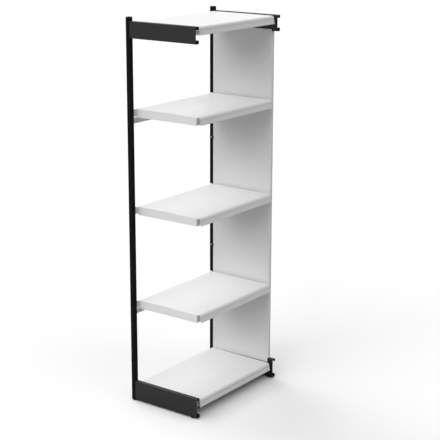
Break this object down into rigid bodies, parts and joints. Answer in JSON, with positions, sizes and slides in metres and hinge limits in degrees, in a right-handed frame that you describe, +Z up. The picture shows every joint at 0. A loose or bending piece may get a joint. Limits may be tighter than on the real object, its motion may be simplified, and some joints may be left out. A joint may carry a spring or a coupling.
{
  "type": "corner shelving unit",
  "caption": "Tall open shelving bay with slotted black rear posts, channel arms and legs, folded white steel shelves on hook-in brackets and one closed end for a corner.",
  "frame": {"origin": "on the floor, under the middle of the bay's width and depth", "axes": "+Z up; +X along the bay from the open end to the end with the panel; the front faces -Y, the posts stand at +Y"},
  "size_m": [0.707, 0.43, 2],
  "materials": {
    "black_powder_coat": "satin black powder coat",
    "white_powder_coat": "satin white powder coat",
    "black_plastic": "matt black moulding",
    "zinc_plate": "bright zinc plate"
  },
  "bodies": {
    "frame": {"base_shelf": "white_powder_coat", "base_shelf_screw_left_front": "zinc_plate", "base_shelf_screw_left_rear": "zinc_plate", "base_shelf_screw_right_front": "zinc_plate", "base_shelf_screw_right_rear": "zinc_plate", "base_shelf_stiffener": "white_powder_coat", "end_panel": "white_powder_coat", "left_arm_bolt_lower": "zinc_plate", "left_arm_bolt_upper": "zinc_plate", "left_base_leg": "black_powder_coat", "left_leg_bolt_lower": "zinc_plate", "left_leg_bolt_upper": "zinc_plate", "left_leg_nut": "zinc_plate", "left_post": "black_powder_coat", "left_post_cap": "black_plastic", "left_post_insert": "black_plastic", "left_top_arm": "black_powder_coat", "lower_tie_rail": "white_powder_coat", "panel_clip_lower": "black_powder_coat", "panel_clip_upper": "black_powder_coat", "panel_screw_bottom_front": "white_powder_coat", "panel_screw_bottom_rear": "white_powder_coat", "panel_screw_top_front": "white_powder_coat", "panel_screw_top_rear": "white_powder_coat", "right_arm_bolt_lower": "zinc_plate", "right_arm_bolt_upper": "zinc_plate", "right_base_leg": "black_powder_coat", "right_leg_bolt_lower": "zinc_plate", "right_leg_bolt_upper": "zinc_plate", "right_leg_nut": "zinc_plate", "right_post": "black_powder_coat", "right_post_cap": "black_plastic", "right_post_insert": "black_plastic", "right_top_arm": "black_powder_coat", "top_shelf": "white_powder_coat", "top_shelf_screw_left_front": "zinc_plate", "top_shelf_screw_left_rear": "zinc_plate", "top_shelf_screw_right_front": "zinc_plate", "top_shelf_screw_right_rear": "zinc_plate", "top_shelf_stiffener": "white_powder_coat", "upper_tie_rail": "white_powder_coat"},
    "upper_shelf_set": {"upper_shelf": "white_powder_coat", "upper_shelf_stiffener": "white_powder_coat", "upper_left_bracket": "white_powder_coat", "upper_right_bracket": "white_powder_coat"},
    "middle_shelf_set": {"middle_shelf": "white_powder_coat", "middle_shelf_stiffener": "white_powder_coat", "middle_left_bracket": "white_powder_coat", "middle_right_bracket": "white_powder_coat"},
    "lower_shelf_set": {"lower_shelf": "white_powder_coat", "lower_shelf_stiffener": "white_powder_coat", "lower_left_bracket": "white_powder_coat", "lower_right_bracket": "white_powder_coat"},
    "front_left_foot_screw": {"front_left_foot": "black_plastic"},
    "front_right_foot_screw": {"front_right_foot": "black_plastic"},
    "rear_left_foot_screw": {"rear_left_foot": "black_plastic"},
    "rear_right_foot_screw": {"rear_right_foot": "black_plastic"}
  },
  "joints": [
    {"name": "upper_shelf_lift", "type": "slide", "parent": "frame", "child": "upper_shelf_set", "axis": [0, 0, 1], "range_m": [0, 0.0075]},
    {"name": "middle_shelf_lift", "type": "slide", "parent": "frame", "child": "middle_shelf_set", "axis": [0, 0, 1], "range_m": [0, 0.0075]},
    {"name": "lower_shelf_lift", "type": "slide", "parent": "frame", "child": "lower_shelf_set", "axis": [0, 0, 1], "range_m": [0, 0.0075]},
    {"name": "front_left_foot_level", "type": "slide", "parent": "frame", "child": "front_left_foot_screw", "axis": [0, 0, 1], "range_m": [-0.012, 0]},
    {"name": "front_right_foot_level", "type": "slide", "parent": "frame", "child": "front_right_foot_screw", "axis": [0, 0, 1], "range_m": [-0.012, 0]},
    {"name": "rear_left_foot_level", "type": "slide", "parent": "frame", "child": "rear_left_foot_screw", "axis": [0, 0, 1], "range_m": [-0.012, 0]},
    {"name": "rear_right_foot_level", "type": "slide", "parent": "frame", "child": "rear_right_foot_screw", "axis": [0, 0, 1], "range_m": [-0.012, 0]}
  ]
}
